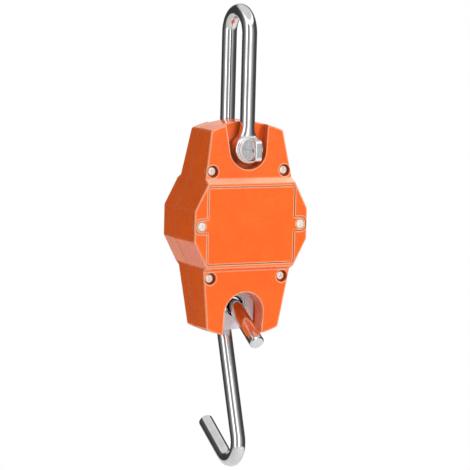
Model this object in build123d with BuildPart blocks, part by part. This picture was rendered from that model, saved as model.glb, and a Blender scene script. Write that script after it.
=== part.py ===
from build123d import *
import math
import os

os.makedirs("parts", exist_ok=True)

# A compact crane scale that hangs between a crane hook and a load: a bow shackle on top, a
# two-shell case around a load cell, and an S-hook below.
# Millimetres. +Z is up along the load line, the battery cover faces -Y, the display faces +Y.
# The origin is the suspension seat, where the crown of the shackle rests on what carries it.

# ---------------------------------------------------------------- driving dimensions

bar_dia = 12.0              # round bar of the shackle and of the S-hook
shackle_gap = 24.0          # clear width between the shackle's legs
pin_drop = 103.5            # suspension seat down to the shackle pin
eye_dia = 24.4              # forged eyes at the ends of the legs
eye_thickness = 12.4
eye_round = 3.0
neck_height = 21.0          # where the round leg starts to widen, above the pin
# The neck between leg and eye: height above the pin over neck_height, width over bar_dia.
neck_sections = ((1.0, 1.0), (0.72, 1.06), (0.5, 1.3), (0.3, 1.7))
pin_dia = 12.0
pin_chamfer = 1.0
pin_collar_dia = 20.6
pin_collar_thickness = 2.5
paddle_thickness = 6.0      # flat grip on the pin's head
paddle_height = 17.0
paddle_length = 13.5
paddle_corner = 3.5
paddle_edge = 0.9
paddle_hole_dia = 3.4
paddle_hole_place = 8.4     # from the collar

running_fit = 0.05          # radial clearance of a pin or bush that turns
screw_fit = 0.05            # radial clearance of a screw in its own thread
part_gap = 0.3              # clearance between pieces that are only laid in place

pin_to_middle = 60.3        # shackle pin down to the middle of the case
case_width = 102.0          # across the hexagon's corners
side_height = 25.0          # straight sides of the hexagon
hexagon_height = 68.0
waist_width = 79.5          # where the hexagon meets the upper and lower parts
end_width = 65.0            # at the corners of the arched ends
upper_corner = 75.3         # corners of the arched top, above the middle
lower_corner = 85.5         # corners of the arched bottom, below the middle
end_arch = 7.0              # rise of both arched ends
parting_y = 3.5             # joint face between the two shells
rear_depths = (30.0, 24.0, 18.0)    # hexagon, foot of the ledge, far ends
front_depths = (28.0, 22.5, 17.0)
ledge_height = 3.0          # slanted ledge between the hexagon and the end parts
draft_angle = 1.5
case_wall = 3.0
corner_round = 2.5
edge_round = 0.8
post_wall = 2.2             # around the screws in the rear shell's posts
post_height = 8.0
board_post_wall = 1.9
front_boss_wall = 2.6
counterbore_room = 1.6      # beside a screw head
counterbore_wall = 2.9
counterbore_floor = 5.5     # below the face at the foot of the ledge
blind_end = 1.0             # free thread beyond a screw

recess_radius = 16.3        # recesses around the shackle's eyes
recess_mouth = 39.4         # width where they run out at the top
recess_floor = 11.0
pin_hole_clearance = 0.6

slot_width = 34.6           # arched slot that frees the hook
slot_arch_drop = 72.6       # centre of its arch, below the middle
slot_wall = 2.0

cell_thickness = 10.0       # load cell
cell_eye_radius = 13.5
cell_waist = 26.0
cell_foot_gap = 0.8         # beside the foot, in the slot
cell_foot_drop = 87.9       # bottom of the foot, below the middle
cell_shoulder_drop = 44.0
hook_eye_drop = 68.8        # hook eye, below the middle
window_size = (12.0, 22.0)
window_round = 5.0
gauge_size = (0.3, 4.0, 5.6)
gauge_spacing = 6.6
gauge_cover_margin = 3.0
gauge_cover_height = 2.4

bush_throat = 6.6           # narrowest radius inside the hook bush
bush_barrel_radius = 9.2
bush_flange_radius = 10.3
bush_flange = 0.8
bush_curve = 9.0            # radius of the bush's rounded inside, along the bar
bush_end_play = 0.1

hook_bend = 16.0            # centre-line radius of both bends
hook_bends_apart = 95.2
hook_reach = 45.5           # load line out to each tip
hook_arm_slope = 30.0
hook_seat_gap = 0.3
tip_chamfer = 1.0

cover_size = (77.0, 61.7)   # battery cover
cover_thickness = 2.0
cover_corner = 1.5
cover_ear_reach = 49.0
cover_ear_height = 11.0
cover_gap = 0.4             # groove around the cover
cover_sink = 0.15           # below the face of the case
seal_thickness = 0.9
seal_width = 2.0

battery_radius = 7.25       # AA cells
battery_length = 50.5
battery_pitch = 16.2
battery_count = 3
tray_wall = 1.5
tray_end_room = 4.2         # for a contact and its spring at each end of a cell
tray_flange = 3.0
contact_thickness = 0.5
contact_side = 10.0
battery_nub = (2.7, 1.2)    # radius and height of a cell's positive end
spring_radii = (4.0, 3.2)
spring_taper = 12

case_screw_x = 32.0
case_screw_z = 43.0
cover_screw_x = 44.0
cell_screw_x = 8.5
cell_screw_z = 34.5

board_size = (76.0, 44.0)
board_thickness = 1.6
board_y = 12.4
board_screw_x = 34.0
board_screw_z = 18.0
window_glass = (62.0, 27.0, 1.6)
window_z = 8.5
window_margin = 3.0
display_size = (60.0, 26.0)
display_thickness = 4.0
key_spacing = 21.0
key_z = -18.0
key_radius = 5.5
key_flange_radius = 7.0
key_flange = 1.8
key_proud = 1.2
key_travel = 0.8
key_gap = 0.3
key_names = ("key_power", "key_hold", "key_unit")
switch_side = 6.0
switch_height = 3.6
plunger_radius = 1.75
plunger_height = 1.0

gasket_width = 1.2
gasket_depth = 1.0
gasket_margin = 0.9         # from the outside of the case to the gasket
lead_dia = 1.3

# Screws: head diameter, head height, shank diameter, length under the head.
case_screw = (6.6, 2.4, 3.5, 26.0)
cover_screw = (6.8, 1.6, 3.0, 8.0)
cell_screw = (5.5, 2.2, 3.0, 17.0)
board_screw = (4.6, 1.6, 2.2, 6.0)

# ---------------------------------------------------------------- derived places

leg_y = (shackle_gap + bar_dia) / 2
pin_z = -pin_drop
case_z = pin_z - pin_to_middle
slot_radius = slot_width / 2
hook_eye_z = case_z - hook_eye_drop
upper_bend_z = hook_eye_z - (bush_throat - bar_dia / 2 - hook_seat_gap) - hook_bend
lower_bend_z = upper_bend_z - hook_bends_apart
rear, front = -1, 1
depths = {rear: rear_depths, front: front_depths}
rear_face = -rear_depths[0]
front_face = front_depths[0]
cover_seat_y = rear_face + cover_sink + cover_thickness + seal_thickness
pad_y = cover_seat_y + 2.5
battery_y = pad_y + battery_radius + 0.05
battery_room = (battery_length + 2 * tray_end_room, battery_count * battery_pitch + 2.0)
tray_floor_y = battery_y + battery_radius + 0.05
window_y = front_face - window_glass[2]
display_front_y = front_face - case_wall - 0.2
display_back_y = display_front_y - display_thickness
board_front_y = board_y + board_thickness
key_columns = (-key_spacing, 0.0, key_spacing)
case_screws_at = [(x, z) for x in (-case_screw_x, case_screw_x) for z in (-case_screw_z, case_screw_z)]
cover_screws_at = [(-cover_screw_x, 0), (cover_screw_x, 0)]
cell_screws_at = [(-cell_screw_x, cell_screw_z), (cell_screw_x, cell_screw_z)]
board_screws_at = [(x, z) for x in (-board_screw_x, board_screw_x) for z in (-board_screw_z, board_screw_z)]


def facing(side, y, z=case_z):
    """A plane across the load line at y that looks towards side; its local y is up."""
    return Plane(origin=(0, y, z), x_dir=(-side, 0, 0), z_dir=(0, side, 0))


# ---------------------------------------------------------------- shackle

with BuildPart() as shackle_bow:
    with BuildLine(Plane.YZ) as bow_path:
        crown_z = bar_dia / 2 - leg_y
        Line((-leg_y, pin_z + neck_height), (-leg_y, crown_z))
        CenterArc((0, crown_z), leg_y, 180, -180)
        Line((leg_y, crown_z), (leg_y, pin_z + neck_height))
    with BuildSketch(Plane(origin=(0, -leg_y, pin_z + neck_height), z_dir=(0, 0, 1))):
        Circle(bar_dia / 2)
    sweep(path=bow_path.wires()[0])
    for side in (rear, front):
        eye_y = side * leg_y
        for height, width in neck_sections:
            with BuildSketch(Plane(origin=(0, eye_y, pin_z + height * neck_height), z_dir=(0, 0, 1))):
                Ellipse(width * bar_dia / 2, bar_dia / 2)
        loft()
        with BuildSketch(Plane(origin=(0, eye_y, pin_z), x_dir=(0, 1, 0), z_dir=(1, 0, 0))):
            with BuildLine():
                half, rim = eye_thickness / 2, eye_dia / 2
                FilletPolyline((-half, 0), (-half, rim), (half, rim), (half, 0), radius=eye_round)
                Line((half, 0), (-half, 0))
            make_face()
        revolve(axis=Axis((0, 0, pin_z), (0, 1, 0)))
    with BuildSketch(facing(front, 0, pin_z)):
        Circle(pin_dia / 2 + screw_fit)
    extrude(amount=leg_y + eye_thickness, both=True, mode=Mode.SUBTRACT)

shackle_bow.part.label = "shackle_bow"
export_step(shackle_bow.part, "parts/shackle_bow.step")

with BuildPart() as shackle_pin:
    outer_y = leg_y + eye_thickness / 2
    grip_length = paddle_length + pin_collar_thickness
    with BuildSketch(Plane.YZ):
        with Locations((-outer_y - grip_length / 2, pin_z)):
            RectangleRounded(grip_length, paddle_height, radius=paddle_corner)
    extrude(amount=paddle_thickness / 2, both=True)
    fillet(shackle_pin.faces().filter_by(Axis.X).edges(), radius=paddle_edge)
    with BuildSketch(Plane.YZ):
        with Locations((-outer_y - pin_collar_thickness - paddle_hole_place, pin_z)):
            Circle(paddle_hole_dia / 2)
    extrude(amount=paddle_thickness, both=True, mode=Mode.SUBTRACT)
    with BuildSketch(facing(rear, outer_y, pin_z)):
        Circle(pin_dia / 2)
    extrude(amount=2 * outer_y)
    chamfer(shackle_pin.edges().sort_by(Axis.Y)[-1], length=pin_chamfer)
    with BuildSketch(facing(rear, -outer_y, pin_z)):
        Circle(pin_collar_dia / 2)
    extrude(amount=pin_collar_thickness)

shackle_pin.part.label = "shackle_pin"
export_step(shackle_pin.part, "parts/shackle_pin.step")

# ---------------------------------------------------------------- case shells


def case_outline(inset):
    """The case as seen along Y, shrunk by inset all round."""
    with BuildSketch() as outline:
        with BuildLine():
            for sign in (-1, 1):
                Polyline((sign * end_width / 2, upper_corner), (sign * waist_width / 2, hexagon_height / 2),
                         (sign * case_width / 2, side_height / 2), (sign * case_width / 2, -side_height / 2),
                         (sign * waist_width / 2, -hexagon_height / 2), (sign * end_width / 2, -lower_corner))
            ThreePointArc((-end_width / 2, upper_corner), (0, upper_corner + end_arch),
                          (end_width / 2, upper_corner))
            ThreePointArc((-end_width / 2, -lower_corner), (0, -lower_corner - end_arch),
                          (end_width / 2, -lower_corner))
        make_face()
        if inset:
            offset(amount=-inset, kind=Kind.INTERSECTION)
    return outline.sketch


def side_profile(side, inset):
    """The case as seen along X, on one side of the parting plane, shrunk by inset."""
    middle, step, end = depths[side]
    reach = 2 * lower_corner
    waist = hexagon_height / 2
    with BuildSketch() as profile:
        with BuildLine():
            Polyline((-middle, -reach), (end, -reach), (end, -lower_corner - end_arch),
                     (step, -waist - ledge_height), (middle, -waist), (middle, waist),
                     (step, waist + ledge_height), (end, upper_corner + end_arch), (end, reach),
                     (-middle, reach), close=True)
        make_face()
        if inset:
            offset(amount=-inset, kind=Kind.INTERSECTION)
    return profile.sketch


def case_form(side, inset=0.0):
    """One half of the case as a solid block, shrunk by inset except at the parting plane."""
    outline = case_outline(inset)
    profile = side_profile(side, inset)
    with BuildPart() as form:
        with BuildSketch(facing(side, parting_y)):
            add(outline)
        extrude(amount=depths[side][0] + parting_y, taper=draft_angle)
        if not inset:
            upright = form.edges().filter_by(
                lambda edge: abs(edge.tangent_at(0.5).Y) > 0.9 and edge.length > 5)
            fillet(upright, radius=corner_round)
        with BuildSketch(Plane(origin=(0, 0, case_z), x_dir=(0, side, 0), z_dir=(side, 0, 0))):
            add(profile)
        extrude(amount=case_width, both=True, mode=Mode.INTERSECT)
        if not inset:
            fillet(form.edges().filter_by(lambda edge: abs(edge.center().Y - parting_y) > 0.5),
                   radius=edge_round)
    return form.part


def recess_sketch(grow=0.0):
    """U-shaped outline of the recess around a shackle eye, from the case's middle."""
    with BuildSketch() as shape:
        with Locations((0, pin_to_middle)):
            Circle(recess_radius + grow)
        with BuildLine():
            top = upper_corner + end_arch + case_wall
            side_x, mouth_x = recess_radius + grow, recess_mouth / 2 + grow
            Polyline((-side_x, pin_to_middle), (side_x, pin_to_middle), (mouth_x, top), (-mouth_x, top),
                     close=True)
        make_face()
    return shape.sketch


def slot_sketch(grow=0.0):
    """Arched outline of the hook slot, open at the bottom, from the case's middle."""
    length = lower_corner + end_arch + case_wall - slot_arch_drop
    with BuildSketch() as shape:
        with Locations((0, -slot_arch_drop)):
            Circle(slot_radius + grow)
        with Locations((0, -slot_arch_drop - length / 2)):
            Rectangle(2 * (slot_radius + grow), length)
    return shape.sketch


def cover_sketch(grow=0.0):
    """The battery cover with its two screw ears, from the case's middle."""
    with BuildSketch() as shape:
        RectangleRounded(cover_size[0] + 2 * grow, cover_size[1] + 2 * grow, cover_corner + grow)
        RectangleRounded(2 * (cover_ear_reach + grow), cover_ear_height + 2 * grow, 4.0 + grow)
    return shape.sketch


recess_outline, recess_block = recess_sketch(), recess_sketch(case_wall)
slot_outline, slot_block = slot_sketch(), slot_sketch(slot_wall)


def case_cavity(side, boss_radius):
    """The hollow of one shell: it goes round the recess, the slot and the screw bosses."""
    hollow = case_form(side, case_wall)
    with BuildPart() as cavity:
        add(hollow)
        with BuildSketch(facing(side, side * (recess_floor - case_wall))):
            add(recess_block)
        extrude(amount=depths[side][0], mode=Mode.SUBTRACT)
        with BuildSketch(facing(side, parting_y)):
            add(slot_block)
            with Locations(*case_screws_at):
                Circle(boss_radius)
        extrude(amount=2 * depths[side][0], mode=Mode.SUBTRACT)
    return cavity.part


rear_form, rear_cavity = case_form(rear), case_cavity(rear, case_screw[0] / 2 + counterbore_wall)
front_form, front_cavity = case_form(front), case_cavity(front, case_screw[2] / 2 + front_boss_wall)
cover_outline, cover_pocket = cover_sketch(), cover_sketch(cover_gap)
pad_outline = cover_sketch(2.0)
screw_floor_y = -rear_depths[1] + counterbore_floor

with BuildPart() as rear_shell:
    add(rear_form)
    add(rear_cavity, mode=Mode.SUBTRACT)
    # Pad that carries the battery cover, posts for its two screws, and posts for the load cell.
    with BuildSketch(facing(rear, pad_y)):
        add(pad_outline)
    extrude(amount=pad_y + rear_depths[0] - edge_round)
    with BuildSketch(facing(rear, pad_y + post_height)):
        with Locations(*cover_screws_at):
            Circle(cover_screw[2] / 2 + post_wall)
    extrude(amount=post_height)
    with BuildSketch(facing(rear, -cell_thickness / 2)):
        with Locations(*cell_screws_at):
            Circle(cell_screw[2] / 2 + post_wall)
    extrude(amount=rear_depths[1] - cell_thickness / 2 - 1.5)
    add(rear_form, mode=Mode.INTERSECT)
    # Recess, slot, and the channel that lets the load cell down into the slot.
    with BuildSketch(facing(rear, -recess_floor)):
        add(recess_outline)
    extrude(amount=rear_depths[0], mode=Mode.SUBTRACT)
    with BuildSketch(facing(rear, parting_y)):
        add(slot_outline)
    extrude(amount=2 * rear_depths[0], mode=Mode.SUBTRACT)
    with BuildSketch(facing(rear, parting_y)):
        with Locations((0, -slot_arch_drop + slot_radius / 2 + slot_wall)):
            Rectangle(slot_width, slot_radius + 2 * slot_wall)
    extrude(amount=parting_y + cell_thickness / 2 + part_gap, mode=Mode.SUBTRACT)
    # Pocket and opening under the battery cover.
    with BuildSketch(facing(rear, cover_seat_y)):
        add(cover_pocket)
    extrude(amount=rear_depths[0], mode=Mode.SUBTRACT)
    with BuildSketch(facing(rear, pad_y + 1.0)):
        RectangleRounded(*battery_room, radius=1.5)
    extrude(amount=rear_depths[0], mode=Mode.SUBTRACT)
    # Pin hole and screw holes.
    with BuildSketch(facing(rear, 0)):
        with Locations((0, pin_to_middle)):
            Circle(pin_dia / 2 + pin_hole_clearance)
        with Locations(*case_screws_at):
            Circle(case_screw[2] / 2 + screw_fit)
    extrude(amount=rear_depths[0], both=True, mode=Mode.SUBTRACT)
    with BuildSketch(facing(rear, screw_floor_y)):
        with Locations(*case_screws_at):
            Circle(case_screw[0] / 2 + counterbore_room)
    extrude(amount=rear_depths[0], mode=Mode.SUBTRACT)
    with BuildSketch(facing(rear, pad_y + post_height - blind_end)):
        with Locations(*cover_screws_at):
            Circle(cover_screw[2] / 2 + screw_fit)
    extrude(amount=rear_depths[0], mode=Mode.SUBTRACT)
    with BuildSketch(facing(rear, -cell_thickness / 2)):
        with Locations(*cell_screws_at):
            Circle(cell_screw[2] / 2 + screw_fit)
    extrude(amount=cell_screw[3] - cell_thickness + blind_end, mode=Mode.SUBTRACT)

rear_shell.part.label = "rear_shell"
export_step(rear_shell.part, "parts/rear_shell.step")

gasket_outer, gasket_inner = case_outline(gasket_margin), case_outline(gasket_margin + gasket_width)
groove_outer = case_outline(gasket_margin - screw_fit)
groove_inner = case_outline(gasket_margin + gasket_width + screw_fit)
gasket_stop = slot_sketch(slot_wall / 2)

with BuildPart() as front_shell:
    add(front_form)
    add(front_cavity, mode=Mode.SUBTRACT)
    with BuildSketch(facing(front, board_front_y)):
        with Locations(*board_screws_at):
            Circle(board_screw[2] / 2 + board_post_wall)
    extrude(amount=front_face - board_front_y - 1.0)
    with BuildSketch(facing(front, front_face - case_wall - 1.2)):
        with Locations((0, window_z)):
            Rectangle(window_glass[0] + 4, window_glass[1] + 4)
            Rectangle(display_size[0] + 2 * part_gap, display_size[1] + 2 * part_gap, mode=Mode.SUBTRACT)
    extrude(amount=case_wall)
    with BuildSketch(facing(front, recess_floor)):
        add(recess_outline)
    extrude(amount=front_depths[0], mode=Mode.SUBTRACT)
    with BuildSketch(facing(front, parting_y)):
        add(slot_outline)
    extrude(amount=2 * front_depths[0], mode=Mode.SUBTRACT)
    with BuildSketch(facing(front, parting_y)):
        with Locations((0, -slot_arch_drop + slot_radius / 2 + slot_wall)):
            Rectangle(slot_width, slot_radius + 2 * slot_wall)
    extrude(amount=cell_thickness / 2 + part_gap - parting_y, mode=Mode.SUBTRACT)
    # Groove for the gasket.
    with BuildSketch(facing(front, parting_y)):
        add(groove_outer)
        add(groove_inner, mode=Mode.SUBTRACT)
        add(gasket_stop, mode=Mode.SUBTRACT)
    extrude(amount=gasket_depth, mode=Mode.SUBTRACT)
    # Display window and key holes.
    with BuildSketch(facing(front, window_y)):
        with Locations((0, window_z)):
            RectangleRounded(window_glass[0] + 0.2, window_glass[1] + 0.2, 2.1)
    extrude(amount=case_wall, mode=Mode.SUBTRACT)
    with BuildSketch(facing(front, window_y - case_wall)):
        with Locations((0, window_z)):
            RectangleRounded(window_glass[0] - 2 * window_margin, window_glass[1] - 2 * window_margin, 1.0)
        with Locations(*[(x, key_z) for x in key_columns]):
            Circle(key_radius + key_gap)
    extrude(amount=2 * case_wall, mode=Mode.SUBTRACT)
    # Pin hole and screw holes.
    with BuildSketch(facing(front, 0)):
        with Locations((0, pin_to_middle)):
            Circle(pin_dia / 2 + pin_hole_clearance)
    extrude(amount=front_depths[0], mode=Mode.SUBTRACT)
    with BuildSketch(facing(front, parting_y)):
        with Locations(*case_screws_at):
            Circle(case_screw[2] / 2 + screw_fit)
    extrude(amount=case_screw[3] + screw_floor_y - parting_y + blind_end, mode=Mode.SUBTRACT)
    with BuildSketch(facing(front, board_front_y)):
        with Locations(*board_screws_at):
            Circle(board_screw[2] / 2 + screw_fit)
    extrude(amount=board_screw[3] - board_thickness + blind_end, mode=Mode.SUBTRACT)

front_shell.part.label = "front_shell"
export_step(front_shell.part, "parts/front_shell.step")

with BuildPart() as case_gasket:
    with BuildSketch(facing(front, parting_y)):
        add(gasket_outer)
        add(gasket_inner, mode=Mode.SUBTRACT)
        add(gasket_stop, mode=Mode.SUBTRACT)
    extrude(amount=gasket_depth - screw_fit)

case_gasket.part.label = "case_gasket"
export_step(case_gasket.part, "parts/case_gasket.step")

# ---------------------------------------------------------------- battery bay

with BuildPart() as battery_cover:
    with BuildSketch(facing(rear, rear_face + cover_sink + cover_thickness)):
        add(cover_outline)
    extrude(amount=cover_thickness)
    fillet(battery_cover.faces().sort_by(Axis.Y)[0].outer_wire().edges(), radius=0.5)
    with BuildSketch(facing(rear, rear_face + cover_sink + cover_thickness)):
        with Locations(*cover_screws_at):
            Circle(cover_screw[2] / 2 + part_gap)
    extrude(amount=cover_thickness, mode=Mode.SUBTRACT)
    with BuildSketch(facing(rear, rear_face + cover_sink + 1.0)):
        with Locations(*cover_screws_at):
            Circle(cover_screw[0] / 2 + part_gap)
    extrude(amount=cover_thickness, mode=Mode.SUBTRACT)

battery_cover.part.label = "battery_cover"
export_step(battery_cover.part, "parts/battery_cover.step")

with BuildPart() as battery_cover_seal:
    with BuildSketch(facing(rear, cover_seat_y)):
        seal_outer = [size + 2 * seal_width for size in battery_room]
        RectangleRounded(*seal_outer, radius=3.0)
        RectangleRounded(*battery_room, radius=1.5, mode=Mode.SUBTRACT)
    extrude(amount=seal_thickness)

battery_cover_seal.part.label = "battery_cover_seal"
export_step(battery_cover_seal.part, "parts/battery_cover_seal.step")

cell_rows = [(row - (battery_count - 1) / 2) * battery_pitch for row in range(battery_count)]

with BuildPart() as battery_tray:
    with BuildSketch(facing(rear, tray_floor_y + tray_wall)):
        Rectangle(battery_room[0] + 2 * tray_wall, battery_room[1] + 2 * tray_wall)
    extrude(amount=tray_floor_y + tray_wall - pad_y)
    with BuildSketch(facing(rear, pad_y + tray_wall)):
        Rectangle(battery_room[0] + 2 * tray_flange, battery_room[1] + 2 * tray_flange)
    extrude(amount=tray_wall)
    with BuildSketch(facing(rear, tray_floor_y)):
        Rectangle(*battery_room)
    extrude(amount=battery_room[0], mode=Mode.SUBTRACT)
    with BuildSketch(facing(rear, tray_floor_y)):
        with Locations(*[(0, (lower + upper) / 2) for lower, upper in zip(cell_rows, cell_rows[1:])]):
            Rectangle(battery_length - 6, 1.0)
    extrude(amount=battery_radius)

battery_tray.part.label = "battery_tray"
export_step(battery_tray.part, "parts/battery_tray.step")

for number, row_z in enumerate(cell_rows, start=1):
    turned = 1 if number % 2 else -1
    with BuildPart() as battery_cell:
        with BuildSketch(Plane(origin=(-turned * battery_length / 2, battery_y, case_z + row_z),
                               z_dir=(turned, 0, 0))):
            Circle(battery_radius)
        extrude(amount=battery_length - battery_nub[1])
        fillet(battery_cell.edges().filter_by(GeomType.CIRCLE), radius=0.6)
        with BuildSketch(Plane(origin=(turned * (battery_length / 2 - battery_nub[1]), battery_y, case_z + row_z),
                               z_dir=(turned, 0, 0))):
            Circle(battery_nub[0])
        extrude(amount=battery_nub[1])
    battery_cell.part.label = f"battery_cell_{number}"
    export_step(battery_cell.part, f"parts/battery_cell_{number}.step")

with BuildPart() as battery_contacts:
    for row_z in cell_rows:
        for end in (-1, 1):
            with Locations((end * (battery_room[0] - contact_thickness) / 2, battery_y, case_z + row_z)):
                Box(contact_thickness, contact_side, contact_side)

battery_contacts.part.label = "battery_contacts"
export_step(battery_contacts.part, "parts/battery_contacts.step")

with BuildPart() as contact_springs:
    for number, row_z in enumerate(cell_rows, start=1):
        foot = 1 if number % 2 == 0 else -1
        base_x = foot * (battery_room[0] / 2 - contact_thickness)
        with BuildSketch(Plane(origin=(base_x, battery_y, case_z + row_z), z_dir=(-foot, 0, 0))):
            Circle(spring_radii[0])
            Circle(spring_radii[1], mode=Mode.SUBTRACT)
        extrude(amount=tray_end_room - contact_thickness, taper=spring_taper)

contact_springs.part.label = "contact_springs"
export_step(contact_springs.part, "parts/contact_springs.step")

# ---------------------------------------------------------------- load cell and hook bush

with BuildPart() as load_cell:
    half = cell_waist / 2
    foot_half = slot_radius - cell_foot_gap
    with BuildSketch(facing(front, -cell_thickness / 2)):
        with Locations((0, pin_to_middle)):
            Circle(cell_eye_radius)
        with BuildLine():
            Polyline((-half, pin_to_middle), (half, pin_to_middle), (half, -cell_shoulder_drop + 6),
                     (foot_half, -cell_shoulder_drop), (foot_half, -cell_foot_drop),
                     (-foot_half, -cell_foot_drop), (-foot_half, -cell_shoulder_drop),
                     (-half, -cell_shoulder_drop + 6), close=True)
        make_face()
        RectangleRounded(*window_size, radius=window_round, mode=Mode.SUBTRACT)
        with Locations((0, pin_to_middle)):
            Circle(pin_dia / 2 + running_fit, mode=Mode.SUBTRACT)
        with Locations((0, -hook_eye_drop)):
            Circle(bush_barrel_radius + running_fit, mode=Mode.SUBTRACT)
        with Locations(*cell_screws_at):
            Circle(cell_screw[2] / 2 + screw_fit, mode=Mode.SUBTRACT)
    extrude(amount=cell_thickness)

load_cell.part.label = "load_cell"
export_step(load_cell.part, "parts/load_cell.step")

with BuildPart() as strain_gauges:
    for side_x in (-1, 1):
        for height in (-gauge_spacing / 2, gauge_spacing / 2):
            with Locations((side_x * (window_size[0] - gauge_size[0]) / 2, 0, case_z + height)):
                Box(*gauge_size)

strain_gauges.part.label = "strain_gauges"
export_step(strain_gauges.part, "parts/strain_gauges.step")

with BuildPart() as gauge_cover:
    with BuildSketch(facing(front, cell_thickness / 2)):
        cover_widths = [size + 2 * gauge_cover_margin for size in window_size]
        RectangleRounded(*cover_widths, radius=window_round)
    extrude(amount=gauge_cover_height)
    fillet(gauge_cover.faces().sort_by(Axis.Y)[-1].edges(), radius=0.6)

gauge_cover.part.label = "gauge_cover"
export_step(gauge_cover.part, "parts/gauge_cover.step")

with BuildPart() as eye_bush:
    # A ring turned about Y: rounded inside for the bar, flanged on the side of the battery cover.
    face = cell_thickness / 2 + bush_flange + bush_end_play
    flare = bush_throat + bush_curve - math.sqrt(bush_curve ** 2 - face ** 2)
    seat = cell_thickness / 2 + bush_end_play
    with BuildSketch(Plane(origin=(0, 0, hook_eye_z), x_dir=(0, 1, 0), z_dir=(1, 0, 0))):
        with BuildLine():
            ThreePointArc((-face, flare), (0, bush_throat), (face, flare))
            Polyline((face, flare), (face, bush_barrel_radius), (-seat, bush_barrel_radius),
                     (-seat, bush_flange_radius), (-face, bush_flange_radius), (-face, flare))
        make_face()
    revolve(axis=Axis((0, 0, hook_eye_z), (0, 1, 0)))

eye_bush.part.label = "eye_bush"
export_step(eye_bush.part, "parts/eye_bush.step")

with BuildPart() as bush_ring:
    with BuildSketch(facing(front, cell_thickness / 2 + bush_end_play, hook_eye_z)):
        Circle(bush_flange_radius)
        Circle(bush_barrel_radius + screw_fit, mode=Mode.SUBTRACT)
    extrude(amount=bush_flange)

bush_ring.part.label = "bush_ring"
export_step(bush_ring.part, "parts/bush_ring.step")

# ---------------------------------------------------------------- S-hook


def tangent_corner(centre_z, first, second):
    """Where two lines meet that both touch a bend, from their outward normals in the YZ plane."""
    scale = hook_bend / (1 + first[0] * second[0] + first[1] * second[1])
    return scale * (first[0] + second[0]), centre_z + scale * (first[1] + second[1])


with BuildPart() as s_hook:
    slope = math.radians(hook_arm_slope)
    tilt = math.asin(2 * hook_bend / hook_bends_apart)
    arm_normal = (-math.sin(slope), math.cos(slope))
    shank_normal = (math.cos(tilt), -math.sin(tilt))
    top_corner = tangent_corner(upper_bend_z, arm_normal, shank_normal)
    low_corner = tangent_corner(lower_bend_z, [-v for v in arm_normal], [-v for v in shank_normal])
    rise = math.tan(slope)
    arm_tip = (-hook_reach, top_corner[1] - rise * (top_corner[0] + hook_reach))
    low_tip = (hook_reach, low_corner[1] + rise * (hook_reach - low_corner[0]))
    with BuildLine(Plane.YZ) as hook_path:
        FilletPolyline(arm_tip, top_corner, low_corner, low_tip, radius=hook_bend)
    with BuildSketch(Plane(origin=hook_path.wires()[0] @ 0, z_dir=hook_path.wires()[0] % 0)):
        Circle(bar_dia / 2)
    sweep(path=hook_path.wires()[0])
    tip_faces = [s_hook.faces().sort_by(Axis.Y)[0], s_hook.faces().sort_by(Axis.Y)[-1]]
    chamfer([tip.outer_wire().edges()[0] for tip in tip_faces], length=tip_chamfer)

s_hook.part.label = "s_hook"
export_step(s_hook.part, "parts/s_hook.step")

# ---------------------------------------------------------------- electronics

with BuildPart() as main_board:
    with BuildSketch(facing(front, board_y)):
        RectangleRounded(*board_size, radius=2.0)
        with Locations(*board_screws_at):
            Circle(board_screw[2] / 2 + part_gap, mode=Mode.SUBTRACT)
    extrude(amount=board_thickness)

main_board.part.label = "main_board"
export_step(main_board.part, "parts/main_board.step")

lead_socket = (6.0, 4.0, 6.0)
cell_socket_at = (26.0, 5.0)
battery_socket_at = (28.0, -10.0)
chips = [((-20.0, 4.0), (10.0, 1.4, 10.0)), ((-4.0, -6.0), (7.0, 1.2, 5.0)), ((10.0, 12.0), (4.0, 2.4, 4.0)),
         ((-26.0, -12.0), (5.0, 1.6, 3.0)), (cell_socket_at, lead_socket), (battery_socket_at, lead_socket)]

with BuildPart() as board_components:
    for (x, z), (length, height, depth) in chips:
        with Locations((x, board_y - height / 2, case_z + z)):
            Box(length, height, depth)

board_components.part.label = "board_components"
export_step(board_components.part, "parts/board_components.step")

with BuildPart() as key_switches:
    for x in key_columns:
        with Locations((x, board_front_y + switch_height / 2, case_z + key_z)):
            Box(switch_side, switch_height, switch_side)
    with BuildSketch(facing(front, board_front_y + switch_height)):
        with Locations(*[(x, key_z) for x in key_columns]):
            Circle(plunger_radius)
    extrude(amount=plunger_height)

key_switches.part.label = "key_switches"
export_step(key_switches.part, "parts/key_switches.step")

with BuildPart() as display_backlight:
    with BuildSketch(facing(front, board_front_y)):
        with Locations((0, window_z)):
            Rectangle(display_size[0] - 2, display_size[1] - 2)
    extrude(amount=display_back_y - board_front_y)

display_backlight.part.label = "display_backlight"
export_step(display_backlight.part, "parts/display_backlight.step")

with BuildPart() as display_panel:
    with BuildSketch(facing(front, display_back_y)):
        with Locations((0, window_z)):
            Rectangle(*display_size)
    extrude(amount=display_thickness)

display_panel.part.label = "display_panel"
export_step(display_panel.part, "parts/display_panel.step")

with BuildPart() as display_window:
    with BuildSketch(facing(front, window_y)):
        with Locations((0, window_z)):
            RectangleRounded(window_glass[0], window_glass[1], 2.0)
    extrude(amount=window_glass[2])

display_window.part.label = "display_window"
export_step(display_window.part, "parts/display_window.step")

plunger_tip_y = board_front_y + switch_height + plunger_height

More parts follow.
